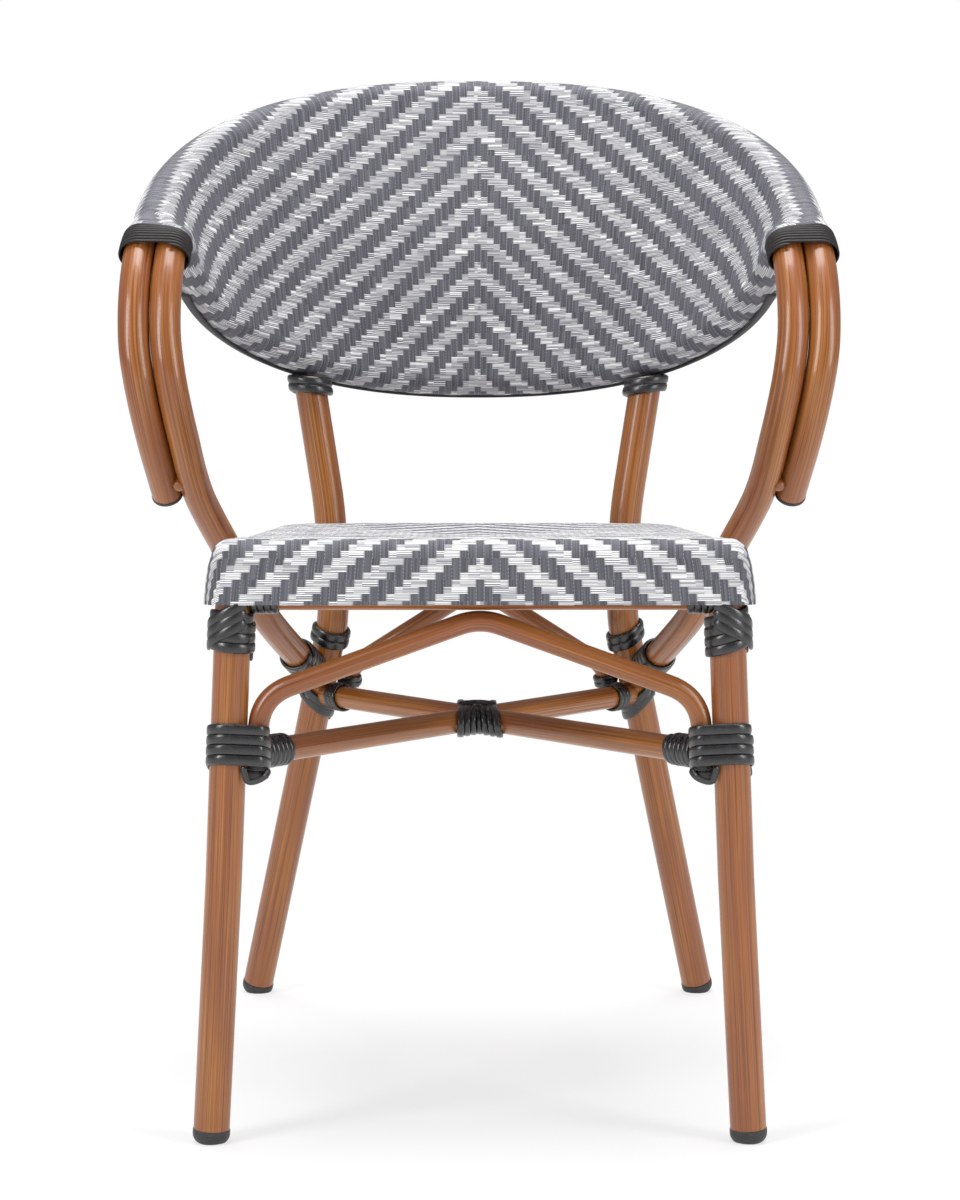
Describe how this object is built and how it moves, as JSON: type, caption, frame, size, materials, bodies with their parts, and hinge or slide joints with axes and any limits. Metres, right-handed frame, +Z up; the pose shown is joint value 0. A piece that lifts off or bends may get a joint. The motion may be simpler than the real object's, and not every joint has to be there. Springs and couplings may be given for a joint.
{
  "type": "bistro armchair",
  "caption": "Stackable outdoor bistro armchair: bent metal tube frame, woven sleeve round the curved back hoops, woven sling seat, crossed stretchers and black strap lashings.",
  "frame": {"origin": "on the floor, under the middle of the chair's bounding box", "axes": "+X to the right of someone who looks at the front, +Y to the rear of the chair, +Z up; the front faces -Y"},
  "size_m": [0.5668, 0.5401, 0.8198],
  "materials": {
    "tube": "glossy caramel brown coat with darker streaks along the tube",
    "weave": "woven synthetic yarn, grey with white bars in chevrons",
    "strap": "satin near-black strap",
    "cap": "satin dark grey"
  },
  "bodies": {
    "root": {"arch_plug_left": "cap", "arch_plug_right": "cap", "arm_band_left": "strap", "arm_band_right": "strap", "arm_cap_left": "cap", "arm_cap_right": "cap", "arm_end_lashing_left": "strap", "arm_end_lashing_right": "strap", "arm_spacer_left": "tube", "arm_spacer_right": "tube", "back_edge_trim": "strap", "back_ferrule_left": "strap", "back_ferrule_right": "strap", "back_sleeve": "weave", "back_strut_left": "tube", "back_strut_right": "tube", "centre_lashing": "strap", "front_arch_brace": "tube", "front_cross_rail": "tube", "front_foot_left": "cap", "front_foot_right": "cap", "front_leg_lashing_left": "strap", "front_leg_lashing_right": "strap", "front_leg_left": "tube", "front_leg_right": "tube", "front_ring_lashing_left": "strap", "front_ring_lashing_right": "strap", "front_stretcher_lashing_left": "strap", "front_stretcher_lashing_right": "strap", "lower_hoop": "tube", "rail_lashing_left": "strap", "rail_lashing_right": "strap", "rear_arch_brace": "tube", "rear_arch_lashing_left": "strap", "rear_arch_lashing_right": "strap", "rear_cross_rail": "tube", "rear_foot_left": "cap", "rear_foot_right": "cap", "rear_leg_left": "tube", "rear_leg_right": "tube", "rear_low_lashing_left": "strap", "rear_low_lashing_right": "strap", "rear_ring_lashing_left": "strap", "rear_ring_lashing_right": "strap", "rear_stretcher_lashing_left": "strap", "rear_stretcher_lashing_right": "strap", "seat_carrier": "tube", "seat_front_rail": "tube", "seat_rim": "tube", "seat_sling": "weave", "stretcher_front_half": "tube", "stretcher_long": "tube", "stretcher_rear_half": "tube", "upper_hoop": "tube"}
  },
  "joints": []
}
